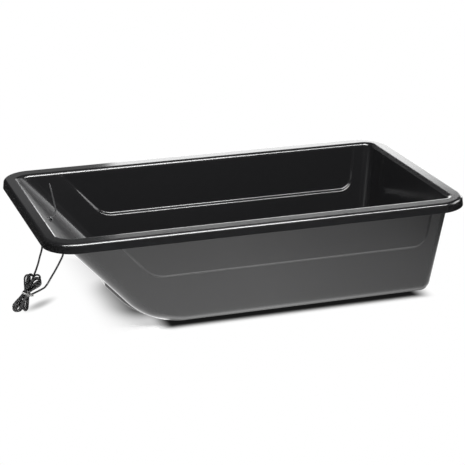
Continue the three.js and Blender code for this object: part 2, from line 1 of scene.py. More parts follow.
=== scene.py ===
import bmesh
import bpy
from math import acos, atan, atan2, copysign, cos, hypot, pi, radians, sin, sqrt, tan
from mathutils import Euler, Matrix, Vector


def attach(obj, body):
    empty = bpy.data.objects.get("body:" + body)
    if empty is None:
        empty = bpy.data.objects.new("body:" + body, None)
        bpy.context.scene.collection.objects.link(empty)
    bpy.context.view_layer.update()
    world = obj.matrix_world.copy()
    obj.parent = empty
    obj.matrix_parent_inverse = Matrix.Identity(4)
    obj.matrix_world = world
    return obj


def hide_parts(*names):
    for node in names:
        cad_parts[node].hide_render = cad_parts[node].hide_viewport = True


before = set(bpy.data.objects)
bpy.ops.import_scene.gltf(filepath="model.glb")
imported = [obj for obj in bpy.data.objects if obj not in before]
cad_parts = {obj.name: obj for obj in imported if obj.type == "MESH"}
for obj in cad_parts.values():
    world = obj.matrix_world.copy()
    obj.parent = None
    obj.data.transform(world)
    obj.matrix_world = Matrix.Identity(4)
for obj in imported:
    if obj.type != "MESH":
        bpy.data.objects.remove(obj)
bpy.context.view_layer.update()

scene = bpy.context.scene
scene.view_settings.view_transform = "Standard"


# camera

def makeCamera(place, tilt, turn, lens, sensor):
    data = bpy.data.cameras.new("camera")
    data.lens, data.sensor_width = lens, sensor
    camera = bpy.data.objects.new("camera", data)
    camera.location = place
    camera.rotation_euler = Euler((radians(tilt), 0, radians(turn)))
    scene.collection.objects.link(camera)
    scene.camera = camera


makeCamera((-1.1625, -3.48294, 1.42031), tilt=70.7, turn=-18.54, lens=126.34, sensor=36)
print("camera is set")


# small helpers

def smooth(share):
    share = min(1.0, max(0.0, share))
    return share * share * (3 - 2 * share)


def meshPiece(name, points, faces, material):
    mesh = bpy.data.meshes.new(name)
    mesh.from_pydata([tuple(p) for p in points], [], faces)
    mesh.validate()
    mesh.polygons.foreach_set("use_smooth", [True] * len(mesh.polygons))
    mesh.materials.append(material)
    piece = bpy.data.objects.new(name, mesh)
    scene.collection.objects.link(piece)
    return piece


# faces along rings of points, closed into a loop or capped at both ends
def ringFaces(first, count, sides, closed):
    faces = []
    for i in range(count if closed else count - 1):
        for j in range(sides):
            near, far, side = i * sides, (i + 1) % count * sides, (j + 1) % sides
            faces.append((near + j, near + side, far + side, far + j))
    if not closed:
        faces += [range(sides - 1, -1, -1), range((count - 1) * sides, count * sides)]
    return [tuple(first + v for v in face) for face in faces]


def outwardFaces(piece):
    mesh = bmesh.new()
    mesh.from_mesh(piece.data)
    bmesh.ops.recalc_face_normals(mesh, faces=mesh.faces)
    mesh.to_mesh(piece.data)
    mesh.free()


# node helpers

def nodeTree(owner):
    owner.use_nodes = True
    tree = owner.node_tree
    tree.nodes.clear()
    return tree


# sockets, by name or number, take a value or another node's output; settings are the node's own
def addNode(tree, kind, sockets=None, **settings):
    node = tree.nodes.new(kind)
    for name, value in settings.items():
        setattr(node, name, value)
    for name, value in (sockets or {}).items():
        if isinstance(value, bpy.types.NodeSocket):
            tree.links.new(value, node.inputs[name])
        else:
            node.inputs[name].default_value = value
    return node


# several values are taken one after another
def mathNode(tree, operation, made, *others):
    for other in others or [0]:
        node = addNode(tree, "ShaderNodeMath", {0: made, 1: other}, operation=operation)
        made = node.outputs["Value"]
    return made


def product(tree, *values):
    return mathNode(tree, "MULTIPLY", *values)


def vectorNode(tree, operation, first, second=(0, 0, 0)):
    node = addNode(tree, "ShaderNodeVectorMath", {0: first, 1: second}, operation=operation)
    return node.outputs["Value" if operation == "LENGTH" else "Vector"]


def mixNode(tree, kind, share, first, second):
    source, result = {"FLOAT": (2, 0), "RGBA": (6, 2)}[kind]  # where the node keeps this kind
    sockets = {0: share, source: first, source + 1: second}
    return addNode(tree, "ShaderNodeMix", sockets, data_type=kind).outputs[result]


# between two values, a value goes from low to high
def ranged(tree, value, fromLow, fromHigh, toLow, toHigh, kind="SMOOTHSTEP"):
    sockets = {0: value, 1: fromLow, 2: fromHigh, 3: toLow, 4: toHigh}
    node = addNode(tree, "ShaderNodeMapRange", sockets, interpolation_type=kind)
    return node.outputs["Result"]


def noise(tree, place, scale, detail):
    sockets = {"Vector": place, "Scale": scale, "Detail": detail}
    return addNode(tree, "ShaderNodeTexNoise", sockets).outputs["Fac"]


# ends a material: a principled shader with a relief
def closeTree(tree, sockets, height, strength, depth):
    relief = {"Height": height, "Strength": strength, "Distance": depth}
    normal = addNode(tree, "ShaderNodeBump", relief).outputs["Normal"]
    shader = addNode(tree, "ShaderNodeBsdfPrincipled", {**sockets, "Normal": normal})
    addNode(tree, "ShaderNodeOutputMaterial", {"Surface": shader.outputs["BSDF"]})


# where the cable tie goes through the bow wall: its middle, down the slope, and out of the sheet

tieOrigin = Vector((-0.4362, 0, 0.2136))
tieDown = Vector((0.669, 0, -0.743))
tieOut = Vector((0.743, 0, 0.669))


def inTie(along, across, out):
    return tieOrigin + tieDown * along + Vector((0, across, 0)) + tieOut * out


# tow rope: one cord from the tie down the near strand, through the hank and up the far strand

rope = {
    "diameter": 0.0044,
    "sides": 20,
    "step": 0.0012,
    "endRings": ((0.432, 0.35), (0.15, 0.75)),  # beyond the end in radii, and share of the radius
    "hankCentre": Vector((-0.4998, -0.0135, 0.0463)),
    "hankAxis": Vector((0.501, 0.15, 0.852)).normalized(),
    "hankAcross": Vector((0.812, -0.422, -0.403)),
    "turnPitch": 0.0042,
    "runHalf": 0.030,
    "runSteps": 6,
    "capSteps": 6,
    "startStep": 4,
    "endStep": 17,
    "waistTurn": -1 / 24,  # where a turn passes the waist, in turns from its start
    "waist": 3.6,
    "waistShift": 0.45,  # the loops' sideways place at the waist, as a share
    "handover": 6,  # how quickly one loop's shape gives way to the next
    # above and below the tie: tilt in degrees, then in millimetres the radius,
    # half the width seen, how far sideways, and how much longer
    "loops": [
        ((-17, 7.5, 5.5, -4.5, 4), (-18, 7.0, 3.5, -3.0, 1)),
        ((-13, 7.5, 6.0, 0.0, 7), (-20, 7.0, 3.5, -0.5, -1)),
        ((-16, 7.5, 5.5, 4.5, 5), (-17, 7.0, 3.5, 2.5, 3)),
        ((9, 8.0, 7.0, 0.0, 12), (8, 7.5, 5.0, -5.0, 7)),
        ((22, 7.5, 5.0, -4.0, 5), (5, 7.5, 5.0, 2.5, 8)),
        ((15, 7.5, 6.0, 0.0, 7), (7, 7.5, 5.0, 5.0, 7)),
        ((20, 7.5, 5.0, 4.0, 5), (3, 7.5, 6.5, -2.0, 9)),
        ((18, 8.5, 8.5, 0.0, 8), (6, 7.5, 5.0, 3.0, 8)),
        ((18, 8.5, 8.5, 0.0, 8), (5, 7.5, 6.5, -1.0, 9)),
    ],
    "inTie": (-0.0055, 0.0025, 0.009),  # out of the sheet, from the middle, and past the tie
}
turnSteps = 2 * (rope["runSteps"] + rope["capSteps"])

# points of the strands; the near one's last are drawn in behind the hank's front loops
nearStrand = [
    (-0.4385, -0.021, 0.2065),
    (-0.433, -0.037, 0.196),
    (-0.424, -0.050, 0.179),
    (-0.4185, -0.0555, 0.162),
    (-0.4193, -0.055, 0.147),
    (-0.428, -0.051, 0.1255),
    (-0.438, -0.045, 0.104),
    (-0.4473, -0.037, 0.0838),
    (-0.4517, -0.0261, 0.0689),
    (-0.4577, -0.0169, 0.0564),
    (-0.4668, -0.0044, 0.0459),
]
farStrand = [
    (-0.444, 0.017, 0.2095),
    (-0.4475, 0.0215, 0.201),
    (-0.4495, 0.021, 0.188),
    (-0.4515, 0.017, 0.168),
    (-0.4535, 0.0125, 0.143),
    (-0.4597, 0.011, 0.123),
    (-0.4655, 0.0125, 0.102),
]


def inHank(along, across, through):
    axis = rope["hankAxis"]
    wide = (rope["hankAcross"] - axis * rope["hankAcross"].dot(axis)).normalized()
    return rope["hankCentre"] + axis * along + wide * across - axis.cross(wide) * through


# a turn is a run down and its cap, then a run up and its cap; lengths are in millimetres here
def hankPoint(step):
    loops, runSteps, waist = rope["loops"], rope["runSteps"], rope["waist"]
    turns = (step - rope["startStep"]) / turnSteps
    passed = turns - rope["waistTurn"]
    nearest = int(passed + 0.5)
    share = smooth((passed - nearest) * rope["handover"] + 0.5)
    old, new = loops[max(nearest - 1, 0)], loops[min(nearest, len(loops) - 1)]
    above, below = [[a + (b - a) * share for a, b in zip(*pair)] for pair in zip(old, new)]
    place = step % turnSteps
    sign = -1 if place >= turnSteps // 2 else 1
    place %= turnSteps // 2
    angle = pi * max(0, place - runSteps) / rope["capSteps"]
    runHalf = rope["runHalf"] * 1000
    along = sign * runHalf * (1 - 2 * min(place, runSteps) / runSteps)
    tilt, radius, half, shift, longer = above if along > 0 else below
    far = smooth(abs(along) / runHalf)
    midTilt, midShift = (above[0] + below[0]) / 2, rope["waistShift"] * (above[3] + below[3]) / 2
    spread = sign * cos(angle)
    across = spread * (waist + (half - waist) * far) + midShift + (shift - midShift) * far
    along += copysign(radius * sin(angle) + longer * far, along)
    through = -spread * sqrt(max(0, radius * radius - half * half)) * far
    tilt = radians(midTilt + (tilt - midTilt) * far)
    return inHank(
        (along * cos(tilt) - across * sin(tilt)) / 1000,
        (along * sin(tilt) + across * cos(tilt)) / 1000,
        through / 1000 + (turns - len(loops) / 2) * rope["turnPitch"],
    )


# a smooth line through points, close enough for a tube
def throughPoints(points, step):
    line = []
    ends = [points[0] * 2 - points[1], *points, points[-1] * 2 - points[-2]]
    for i in range(1, len(ends) - 2):
        p0, p1, p2, p3 = ends[i - 1:i + 3]
        t1 = (p1 - p0).length ** 0.5
        t2 = t1 + (p2 - p1).length ** 0.5
        t3 = t2 + (p3 - p2).length ** 0.5
        count = max(2, round((p2 - p1).length / step))
        for j in range(count):
            t = t1 + (t2 - t1) * j / count
            a1 = p0.lerp(p1, t / t1)
            a2 = p1.lerp(p2, (t - t1) / (t2 - t1))
            a3 = p2.lerp(p3, (t - t2) / (t3 - t2))
            b1, b2 = a1.lerp(a2, t / t2), a2.lerp(a3, (t - t1) / (t3 - t1))
            line.append(b1.lerp(b2, (t - t1) / (t2 - t1)))
    return [*line, points[-1].copy()]


def ropeLine():
    out, apart, reach = rope["inTie"]
    start, end = [[inTie(x, y, out) for y in (reach, 0, -reach)] for x in (apart, -apart)]
    last = turnSteps * (len(rope["loops"]) - 1) + rope["endStep"]
    hank = [hankPoint(step) for step in range(rope["startStep"], last + 1)]
    near, far = [Vector(p) for p in nearStrand], [Vector(p) for p in farStrand[::-1]]
    return throughPoints([*start, *near, *hank, *far, *end], rope["step"])


# a round tube with closed, rounded ends; its UV map runs round and along it in one scale
def makeRope(line, material):
    last, sides, radius = len(line) - 1, rope["sides"], rope["diameter"] / 2
    aheads = [(line[min(i + 1, last)] - line[max(i - 1, 0)]).normalized() for i in range(last + 1)]
    first, final, rings = aheads[0], aheads[-1], rope["endRings"]
    stations = [(line[0] - first * radius * reach, share, first) for reach, share in rings]
    stations += [(place, 1, ahead) for place, ahead in zip(line, aheads)]
    stations += [(line[-1] + final * radius * reach, share, final) for reach, share in rings[::-1]]
    points, places = [], []
    side, run, previous = first.orthogonal().normalized(), 0.0, stations[0][0]
    for place, share, ahead in stations:
        run += (place - previous).length
        previous = place
        side = (side - ahead * side.dot(ahead)).normalized()
        up = ahead.cross(side)
        for j in range(sides):
            angle = 2 * pi * j / sides
            points.append(place + (side * cos(angle) + up * sin(angle)) * radius * share)
        places.append(run / (2 * pi * radius))
    piece = meshPiece("towRope", points, ringFaces(0, len(stations), sides, False), material)
    layer = piece.data.uv_layers.new(name="alongRope").data
    corner = 0
    for face in piece.data.polygons:
        across = [v % sides for v in face.vertices]
        wraps = max(across) - min(across) > 1 and len(across) == 4
        for v, u in zip(face.vertices, across):
            layer[corner].uv = ((sides if wraps and u == 0 else u) / sides, places[v // sides])
            corner += 1
    return piece


ropeLook = {
    "dark": (0.006, 0.006, 0.0065, 1),
    # the colour of the braid's crowns: a painted highlight
    "pale": (0.06, 0.06, 0.062, 1),
    "strands": 8,
    "slope": 5,
    "relief": 0.00035,
    "shader": {
        "Roughness": 0.5,
        "Specular IOR Level": 0.5,
        "Sheen Weight": 0.8,
        "Sheen Roughness": 0.4,
    },
}


# braid from the tube's own UV map: two sets of strands that cross over and under, their crowns
# painted paler as a painted highlight
def ropeFibre(look):
    material = bpy.data.materials.new("braidedFibre")
    tree = nodeTree(material)
    place = addNode(tree, "ShaderNodeUVMap", uv_map="alongRope").outputs["UV"]
    split = addNode(tree, "ShaderNodeSeparateXYZ", {0: place}).outputs
    around = product(tree, split["X"], look["strands"])
    along = product(tree, split["Y"], look["slope"])
    crowns, cells = [], []
    for operation in ("ADD", "SUBTRACT"):
        thread = mathNode(tree, operation, around, along)
        cells.append(mathNode(tree, "FLOOR", thread))
        edge = product(tree, mathNode(tree, "FRACT", thread), 2)
        edge = mathNode(tree, "SUBTRACT", edge, 1)
        crowns.append(mathNode(tree, "SUBTRACT", 1, product(tree, edge, edge)))
    over = mathNode(tree, "PINGPONG", mathNode(tree, "ADD", *cells), 1)
    heights = []
    for lower, upper in (crowns, crowns[::-1]):
        arch = mathNode(tree, "ADD", product(tree, lower, 0.5), 0.5)
        heights.append(product(tree, upper, arch))
    height = mixNode(tree, "FLOAT", over, *heights)
    # paler on the crowns: a painted highlight
    colour = mixNode(tree, "RGBA", height, look["dark"], look["pale"])
    closeTree(tree, {"Base Color": colour, **look["shader"]}, height, 1, look["relief"])
    return material


ropePath = ropeLine()
towRope = makeRope(ropePath, ropeFibre(ropeLook))
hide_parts("tow_rope_near_strand", "tow_rope_far_strand", "tow_rope_hank")
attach(towRope, "root")


# plastics

tubLook = {
    "colour": (0.017, 0.017, 0.018, 1),
    "specular": 0.55,
    "roughness": 0.16,
    "roughnessSpread": 0.015,
    "cloudScale": 9,
    "grainScale": 900,
    "grainStrength": 0.03,
    "grainDepth": 0.0002,
    "scuffAndSheenSlope": (0.4, 0.52),  # the lesser of the normal's x and z
    "scuffAndSheenPlace": (-0.1, -0.25),
    "scuffRoughness": 0.28,
    # the bow slope's paler colour: a painted sheen
    "slopeSheenColour": (0.05, 0.05, 0.052, 1),
}
tieGrey = (0.16, 0.16, 0.165, 1)
tieLook = dict(tubLook, colour=tieGrey, slopeSheenColour=tieGrey, roughness=0.35, scuffRoughness=0)
whiteLook = {
    "colour": (0.86, 0.86, 0.84, 1),
    "roughness": 0.45,
    "creaseScale": 700,
    "creaseStrength": 0.35,
    "creaseDepth": 0.0002,
}


# the inner side of the sloping bow wall is duller, where loads slide in, and its colour is painted
# paler there as a painted sheen
def darkPlastic(name, look):
    material = bpy.data.materials.new(name)
    tree = nodeTree(material)
    place = addNode(tree, "ShaderNodeTexCoord").outputs["Object"]
    normal = addNode(tree, "ShaderNodeNewGeometry").outputs["Normal"]
    facing = addNode(tree, "ShaderNodeSeparateXYZ", {0: normal}).outputs
    where = addNode(tree, "ShaderNodeSeparateXYZ", {0: place}).outputs
    sloping = mathNode(tree, "MINIMUM", facing["X"], facing["Z"])
    sloping = ranged(tree, sloping, *look["scuffAndSheenSlope"], 0, 1)
    scuffedAndSheen = ranged(tree, where["X"], *look["scuffAndSheenPlace"], 0, 1)
    scuffedAndSheen = product(tree, sloping, scuffedAndSheen)
    low, high = [look["roughness"] + side * look["roughnessSpread"] for side in (-1, 1)]
    rough = ranged(tree, noise(tree, place, look["cloudScale"], 3), 0, 1, low, high, "LINEAR")
    duller = product(tree, scuffedAndSheen, look["scuffRoughness"])
    grain = noise(tree, place, look["grainScale"], 2)
    # the paler colour on the bow slope is a painted sheen; the added roughness is a real surface
    # change
    closeTree(tree, {
        "Base Color": mixNode(tree, "RGBA", scuffedAndSheen, look["colour"], look["slopeSheenColour"]),
        "Roughness": mathNode(tree, "ADD", rough, duller),
        "Specular IOR Level": look["specular"],
    }, grain, look["grainStrength"], look["grainDepth"])
    return material


def creasedPlastic(name, look):
    material = bpy.data.materials.new(name)
    tree = nodeTree(material)
    place = addNode(tree, "ShaderNodeTexCoord").outputs["Object"]
    crease = noise(tree, place, look["creaseScale"], 2)
    plain = {"Base Color": look["colour"], "Roughness": look["roughness"]}
    closeTree(tree, plain, crease, look["creaseStrength"], look["creaseDepth"])
    return material


tubPlastic = darkPlastic("tubPlastic", tubLook)
tiePlastic = darkPlastic("tiePlastic", tieLook)


# a flat band's outline with rounded edges, in half widths and half thicknesses
bandRing = [(-1, -0.5), (-1, 0.5), (-0.86, 1), (-0.4, 1), (0.4, 1), (0.86, 1)]
bandRing += [(-a, -b) for a, b in bandRing]


# each station: the band's middle, its outward way, its width's way, half thickness, half width
def bandAlong(stations, points, faces, closed):
    faces += ringFaces(len(points), len(stations), len(bandRing), closed)
    for middle, out, wide, halfThick, halfWide in stations:
        points.extend(middle + wide * (a * halfWide) + out * (b * halfThick) for a, b in bandRing)


# hank tie: a flat white band round the waist, its ends twisted together in front

hankTie = {
    "width": 0.0048,
    "thickness": 0.0009,
    "clearance": 0.0004,
    "steps": 64,
    "waistReach": 0.004,  # which of the rope's points it goes round: from the waist, and in all
    "waistRadius": 0.04,
    "knotLean": 0.25,
    "knotSteps": 24,
    "knotRadius": 0.0018,
    "knotAhead": 0.0005,
    "knotHalf": (0.0008, 0.0018),
    "tailWay": (0.8, 0.45, 0.35),  # across, down and out of the hank
    "tailSteps": 40,
    "tailStart": 0.001,
    "tailHalfThick": 0.00035,
    "tailApart": 0.0006,
    "tipApart": 0.0014,
    "tipShare": 0.15,
    "twistLength": 0.005,
    "twistTurns": 0.5,
    "twistWidth": 0.0026,
}


# the band's middle line: the hull of the rope's points at the waist, in even steps
def waistLine(flat):
    off = rope["diameter"] / 2 + hankTie["clearance"] + hankTie["thickness"] / 2
    outline = []
    for degree in range(360):
        x, y = cos(radians(degree)), sin(radians(degree))
        reach = max(flat, key=lambda p: p[0] * x + p[1] * y)
        outline.append(Vector((reach[0] + x * off, reach[1] + y * off, 0)))
    count = len(outline)
    lengths = [(outline[i] - outline[i - 1]).length for i in range(count)]
    total, steps = sum(lengths), hankTie["steps"]
    stations, run, index = [], 0.0, 0
    for k in range(steps):
        target = total * k / steps
        while run + lengths[(index + 1) % count] < target:
            index += 1
            run += lengths[index % count]
        share = (target - run) / max(1e-9, lengths[(index + 1) % count])
        stations.append(outline[index % count].lerp(outline[(index + 1) % count], min(1, share)))
    return stations


def makeHankTie():
    axis, origin = rope["hankAxis"], inHank(0, 0, 0)
    wide, front = inHank(0, 1, 0) - origin, inHank(0, 0, 1) - origin
    near = [p - origin for p in ropePath if (p - origin).length < hankTie["waistRadius"]]
    near = [p for p in near if abs(p.dot(axis)) < hankTie["waistReach"]]
    stations = waistLine([(p.dot(wide), p.dot(front)) for p in near])
    thick = hankTie["thickness"]
    points, faces, ring = [], [], []
    for k, place in enumerate(stations):
        along = (stations[(k + 1) % len(stations)] - stations[k - 1]).normalized()
        out = wide * along.y - front * along.x
        middle = origin + wide * place.x + front * place.y
        ring.append((middle, out, axis, thick / 2, hankTie["width"] / 2))
    bandAlong(ring, points, faces, True)
    # the knot, then both ends of the band, twisted round each other
    base = max(stations, key=lambda p: p.x * hankTie["knotLean"] + p.y)
    foot = origin + wide * base.x + front * (base.y + thick)
    across, down, outward = hankTie["tailWay"]
    ahead = (wide * across - axis * down + front * outward).normalized()
    side = ahead.orthogonal().normalized()
    up = ahead.cross(side)

    def around(turns):
        return side * cos(2 * pi * turns) + up * sin(2 * pi * turns)

    knot = []
    for k in range(hankTie["knotSteps"]):
        out = around(k / hankTie["knotSteps"])
        middle = foot + ahead * hankTie["knotAhead"] + out * hankTie["knotRadius"]
        knot.append((middle, out, ahead, *hankTie["knotHalf"]))
    bandAlong(knot, points, faces, True)
    for phase in (0, 0.5):
        tail = []
        for k in range(hankTie["tailSteps"] + 1):
            share = k / hankTie["tailSteps"]
            out = around(hankTie["twistTurns"] * share + phase)
            atTip = max(0, share - 1 + hankTie["tipShare"]) / hankTie["tipShare"]
            apart = hankTie["tailApart"] + hankTie["tipApart"] * atTip
            reach = hankTie["twistLength"] * share - hankTie["tailStart"]
            sizes = (hankTie["tailHalfThick"], hankTie["twistWidth"] / 2)
            tail.append((foot + ahead * reach + out * apart, out, ahead.cross(out), *sizes))
        bandAlong(tail, points, faces, False)
    piece = meshPiece("hankTie", points, faces, creasedPlastic("whiteTiePlastic", whiteLook))
    outwardFaces(piece)
    return piece


hankTiePiece = makeHankTie()
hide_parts("hank_tie")
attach(hankTiePiece, "root")
print("hank tie is made")


# cable tie: strap through the bow wall's slots, round the rope, its head and long tail inside

cableTie = {
    "width": 0.004,
    "thickness": 0.0012,
    "half": 0.005,  # inside the loop, along the slope
    "low": -0.008,
    "high": 0.0003,
    "corner": 0.002,
    "headWidth": 0.0078,
    "headLength": 0.0080,
    "headHeight": 0.0068,
    "headEdge": 0.0009,
    "wallFoot": 0.001,
    "wallInset": 0.0006,
    "wallEdge": 0.0004,
    "windowWidth": 0.0050,
    "windowDepth": 0.0022,
    "windowSunk": 0.0016,
    "pawlStart": 0.0007,
    "pawlLow": 0.0026,
    "pawlHigh": 0.0007,
    "pawlEdge": 0.0003,
    "tailFoot": 0.45,  # of the head's height
    "tailRise": 0.004,
    "tailBend": radians(59),
    "tailRadius": 0.020,
    "tailLength": 0.061,
    "tailSteps": (6, 24, 40),  # in the head, in the bend and beyond it
    "tailTwist": radians(62),
    "twistSteps": (5, 26),  # the first and how many
    "tipLength": 0.009,
    "tipWidth": 0.45,
    "tipThickness": 0.7,
    "toothStep": 6,
    "toothPitch": 0.0011,
    "toothDepth": 0.00022,
    "toothWidth": 0.62,  # of the strap's
    "toothLength": 0.55,  # of the pitch
}


# the tail from inside the head to its tip: along the slope, out of it, and its turn
def tailStations():
    foot = cableTie["high"] + cableTie["thickness"] / 2
    start = foot + cableTie["headHeight"] * cableTie["tailFoot"]
    top = foot + cableTie["headHeight"] + cableTie["tailRise"]
    headSteps, bendSteps, farSteps = cableTie["tailSteps"]
    stations = [(0, start + (top - start) * i / headSteps, 0) for i in range(headSteps)]
    for i in range(bendSteps + 1):
        angle, radius = cableTie["tailBend"] * i / bendSteps, cableTie["tailRadius"]
        stations.append((-radius * (1 - cos(angle)), top + radius * sin(angle), angle))
    x, z, angle = stations[-1]
    for i in range(1, farSteps + 1):
        reach = cableTie["tailLength"] * i / farSteps
        stations.append((x - sin(angle) * reach, z + cos(angle) * reach, angle))
    return stations


# small ribs set across the strap along its line
def toothTree():
    tree = bpy.data.node_groups.new("strapTeeth", "GeometryNodeTree")
    kinds = {"Rib width": "Float", "Rib depth": "Float", "Rib pitch": "Float"}
    for name, kind in {"Geometry": "Geometry", **kinds, "Plastic": "Material"}.items():
        tree.interface.new_socket(name=name, in_out="INPUT", socket_type="NodeSocket" + kind)
    tree.interface.new_socket(
        name="Geometry", in_out="OUTPUT", socket_type="NodeSocketGeometry")
    given = addNode(tree, "NodeGroupInput").outputs
    line = addNode(tree, "GeometryNodeMeshToCurve", {"Mesh": given["Geometry"]})
    sockets = {"Curve": line.outputs["Curve"], "Length": given["Rib pitch"]}
    spaced = addNode(tree, "GeometryNodeResampleCurve", sockets, mode="LENGTH")
    ribLength = product(tree, given["Rib pitch"], cableTie["toothLength"])
    sockets = {"X": given["Rib depth"], "Y": given["Rib width"], "Z": ribLength}
    size = addNode(tree, "ShaderNodeCombineXYZ", sockets).outputs["Vector"]
    rib = addNode(tree, "GeometryNodeMeshCube", {"Size": size}).outputs["Mesh"]
    ahead = addNode(tree, "GeometryNodeInputTangent").outputs["Tangent"]
    turn = addNode(
        tree, "FunctionNodeAlignRotationToVector", {"Vector": ahead}, axis="Z", pivot_axis="Y")
    sockets = {"Points": spaced.outputs["Curve"], "Instance": rib}
    sockets["Rotation"] = turn.outputs["Rotation"]
    ribs = addNode(tree, "GeometryNodeInstanceOnPoints", sockets).outputs["Instances"]
    real = addNode(tree, "GeometryNodeRealizeInstances", {"Geometry": ribs}).outputs["Geometry"]
    sockets = {"Geometry": real, "Material": given["Plastic"]}
    painted = addNode(tree, "GeometryNodeSetMaterial", sockets).outputs["Geometry"]
    addNode(tree, "NodeGroupOutput", {"Geometry": painted})
    return tree


# the ribs along a line, as a plain mesh
def makeTeeth(line, values):
    mesh = bpy.data.meshes.new("strapTeethLine")
    mesh.from_pydata([tuple(p) for p in line], [(i, i + 1) for i in range(len(line) - 1)], [])
    carrier = bpy.data.objects.new("strapTeethLine", mesh)
    scene.collection.objects.link(carrier)
    tree = toothTree()
    teeth = carrier.modifiers.new("teeth", "NODES")
    teeth.node_group = tree
    for item in tree.interface.items_tree:
        if item.in_out == "INPUT" and item.name in values:
            teeth[item.identifier] = values[item.name]
    bpy.context.view_layer.update()
    evaluated = carrier.evaluated_get(bpy.context.evaluated_depsgraph_get())
    made = bpy.data.meshes.new_from_object(evaluated)
    bpy.data.objects.remove(carrier)
    return made


# a box with rounded edges in the tie's own frame, from one corner to the other
def roundedBox(points, faces, low, high, edge):
    mesh = bmesh.new()
    bmesh.ops.create_cube(mesh, size=1)
    for v in mesh.verts:
        v.co = [a + (b - a) * (c + 0.5) for a, b, c in zip(low, high, v.co)]
    bmesh.ops.bevel(
        mesh, geom=mesh.edges[:], offset=edge, segments=3, affect="EDGES", profile=0.5)
    first = len(points)
    mesh.verts.index_update()
    points.extend(inTie(*v.co) for v in mesh.verts)
    faces.extend(tuple(first + v.index for v in f.verts) for f in mesh.faces)
    mesh.free()


def addLoop(points, faces):
    thick = cableTie["thickness"]
    half, corner = cableTie["half"] + thick / 2, cableTie["corner"]
    low, high = cableTie["low"] - thick / 2, cableTie["high"] + thick / 2
    loop = []
    side, foot, top = half - corner, low + corner, high - corner
    corners = ((side, top, 0), (-side, top, 90), (-side, foot, 180), (side, foot, 270))
    for x, z, start in corners:
        for degree in range(start, start + 91, 15):
            up, ahead = sin(radians(degree)), cos(radians(degree))
            middle = inTie(x + corner * ahead, 0, z + corner * up)
            out = tieDown * ahead + tieOut * up
            loop.append((middle, out, Vector((0, 1, 0)), thick / 2, cableTie["width"] / 2))
    bandAlong(loop, points, faces, True)


# gives back the line that the teeth stand on
def addTail(points, faces):
    wide, thick = Vector((0, 1, 0)), cableTie["thickness"]
    tail, teeth = [], []
    stations = tailStations()
    twistStart, twistCount = cableTie["twistSteps"]
    for i, (x, z, angle) in enumerate(stations):
        ahead = tieOut * cos(angle) - tieDown * sin(angle)
        twist = cableTie["tailTwist"] * smooth((i - twistStart) / twistCount)
        flat = ahead.cross(wide)
        away = flat * cos(twist) - wide * sin(twist)
        breadth = wide * cos(twist) + flat * sin(twist)
        toTip = (len(stations) - 1 - i) * cableTie["tailLength"] / cableTie["tailSteps"][2]
        taper = (1 - cableTie["tipWidth"]) * toTip / cableTie["tipLength"]
        share = min(1, cableTie["tipWidth"] + taper)
        thin = cableTie["tipThickness"] + (1 - cableTie["tipThickness"]) * share
        sizes = (thick / 2 * thin, cableTie["width"] / 2 * share)
        tail.append((inTie(x, 0, z), away, breadth, *sizes))
        if i > cableTie["toothStep"] and toTip > cableTie["tipLength"]:
            teeth.append(inTie(x, 0, z) + away * (thick / 2))
    bandAlong(tail, points, faces, False)
    return teeth


# the head: a block, four walls round the strap's window, and the pawl's bar across it
def addHead(points, faces):
    bottom = cableTie["high"] + cableTie["thickness"] / 2
    foot, top = bottom + cableTie["wallFoot"], bottom + cableTie["headHeight"]
    x, y, edge = cableTie["headLength"] / 2, cableTie["headWidth"] / 2, cableTie["headEdge"]
    windowX, windowY = cableTie["windowDepth"], cableTie["windowWidth"] / 2
    inset, thin = cableTie["wallInset"], cableTie["wallEdge"]
    pawlLow = (cableTie["pawlStart"], -windowY, top - cableTie["pawlLow"])
    pawlHigh = (windowX + inset, windowY, top - cableTie["pawlHigh"])
    boxes = [
        ((-x, -y, bottom), (x, y, top - cableTie["windowSunk"]), edge),
        ((-x, -y, foot), (-windowX, y, top), edge),
        ((windowX, -y, foot), (x, y, top), edge),
        ((inset - x, -y, foot), (x - inset, -windowY - thin, top), thin),
        ((inset - x, windowY + thin, foot), (x - inset, y, top), thin),
        (pawlLow, pawlHigh, cableTie["pawlEdge"]),
    ]
    for box in boxes:
        roundedBox(points, faces, *box)


def makeCableTie():
    points, faces = [], []
    addLoop(points, faces)
    teeth = addTail(points, faces)
    addHead(points, faces)
    piece = meshPiece("cableTie", points, faces, tiePlastic)
    outwardFaces(piece)
    ribs = makeTeeth(teeth, {
        "Rib width": cableTie["width"] * cableTie["toothWidth"],
        "Rib depth": cableTie["toothDepth"] * 2,
        "Rib pitch": cableTie["toothPitch"],
        "Plastic": tiePlastic,
    })
    joined = bmesh.new()
    joined.from_mesh(piece.data)
    joined.from_mesh(ribs)
    joined.to_mesh(piece.data)
    joined.free()
    return piece


cableTiePiece = makeCableTie()
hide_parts("cable_tie")
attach(cableTiePiece, "root")
print("cable tie is made")


# tub: one sheet, with its sizes as in the part's source

